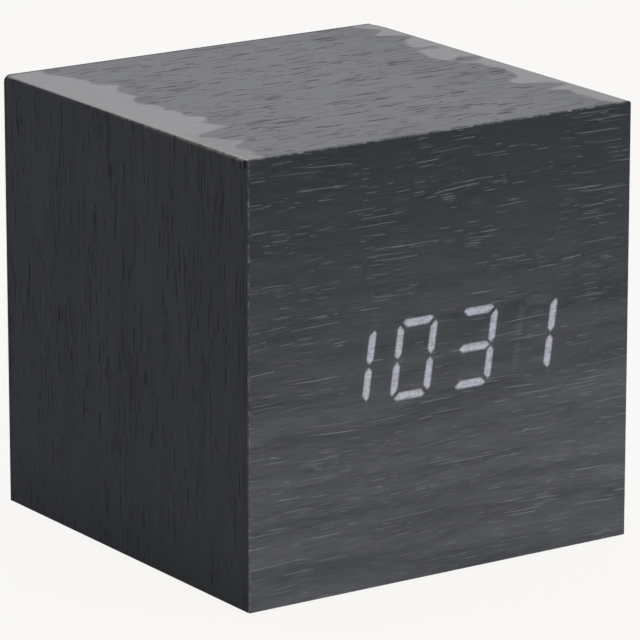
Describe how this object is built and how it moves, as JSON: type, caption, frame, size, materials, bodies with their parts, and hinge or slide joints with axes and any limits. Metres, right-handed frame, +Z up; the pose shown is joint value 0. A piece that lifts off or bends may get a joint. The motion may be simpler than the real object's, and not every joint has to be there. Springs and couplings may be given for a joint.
{
  "type": "led cube alarm clock",
  "caption": "Small veneered wooden cube clock whose slanted digits shine through the front, with buttons and a power inlet at the back and a battery door below.",
  "frame": {"origin": "on the table, under the middle of the clock's overall box", "axes": "+Z up, -Y towards the face with the digits, +X to the right of someone who reads it"},
  "size_m": [0.08, 0.08, 0.08],
  "materials": {
    "fibreboard": "raw medium-density fibreboard",
    "veneer": "charcoal stained oak-grain veneer, satin",
    "corner_wood": "plain softwood glue block",
    "circuit_board": "green solder mask on glass-fibre board",
    "white_plastic": "white moulded plastic",
    "film": "frosted diffuser film",
    "steel": "bright zinc-plated steel",
    "nickel": "nickel-plated steel",
    "switch_plastic": "black moulded plastic",
    "cap_plastic": "satin dark grey plastic",
    "base_plastic": "black plastic with a fine spark texture",
    "rubber": "soft black rubber",
    "cell_jacket": "printed film jacket, plain",
    "ribbon": "grey flat cable",
    "red_wire": "red insulated wire",
    "black_wire": "black insulated wire"
  },
  "bodies": {
    "housing": {"front_panel": "fibreboard", "left_panel": "fibreboard", "right_panel": "fibreboard", "top_panel": "fibreboard", "rear_panel": "fibreboard", "front_veneer": "veneer", "wrap_veneer": "veneer", "rear_veneer": "veneer", "corner_block_1": "corner_wood", "corner_block_2": "corner_wood", "corner_block_3": "corner_wood", "corner_block_4": "corner_wood", "display_board": "circuit_board", "display_reflector": "white_plastic", "diffuser_film": "film", "display_screw_1": "steel", "display_screw_2": "steel", "main_board": "circuit_board", "board_spacer_1": "white_plastic", "board_spacer_2": "white_plastic", "board_screw_1": "steel", "board_screw_2": "steel", "set_switch": "switch_plastic", "up_switch": "switch_plastic", "down_switch": "switch_plastic", "sound_switch": "steel", "power_socket": "steel", "microphone": "steel", "buzzer": "switch_plastic", "backup_cell_holder": "switch_plastic", "backup_cell": "nickel", "base_plate": "base_plastic", "base_screw_1": "steel", "base_screw_2": "steel", "base_screw_3": "steel", "base_screw_4": "steel", "foot_1": "rubber", "foot_2": "rubber", "foot_3": "rubber", "foot_4": "rubber", "battery_1": "cell_jacket", "battery_2": "cell_jacket", "battery_3": "cell_jacket", "battery_4": "cell_jacket", "contact_negative": "nickel", "contact_link_1": "nickel", "contact_link_2": "nickel", "contact_link_3": "nickel", "contact_positive": "nickel", "battery_lead_red": "red_wire", "battery_lead_black": "black_wire", "ribbon_cable": "ribbon"},
    "set_key": {"set_button": "cap_plastic", "set_plunger": "white_plastic"},
    "up_key": {"up_button": "cap_plastic", "up_plunger": "white_plastic"},
    "down_key": {"down_button": "cap_plastic", "down_plunger": "white_plastic"},
    "sound_slider": {"sound_knob": "cap_plastic"},
    "door": {"battery_door": "base_plastic"}
  },
  "joints": [
    {"name": "set_press", "type": "slide", "parent": "housing", "child": "set_key", "axis": [0, -1, 0], "range_m": [0, 0.0005], "stiffness_N_per_m": 600},
    {"name": "up_press", "type": "slide", "parent": "housing", "child": "up_key", "axis": [0, -1, 0], "range_m": [0, 0.0005], "stiffness_N_per_m": 600},
    {"name": "down_press", "type": "slide", "parent": "housing", "child": "down_key", "axis": [0, -1, 0], "range_m": [0, 0.0005], "stiffness_N_per_m": 600},
    {"name": "sound_slide", "type": "slide", "parent": "housing", "child": "sound_slider", "axis": [1, 0, 0], "range_m": [0, 0.002]},
    {"name": "door_hinge", "type": "hinge", "parent": "housing", "child": "door", "pos_m": [0, -0.0254, 0.0018], "axis": [-1, 0, 0], "range_deg": [0, 35]}
  ]
}
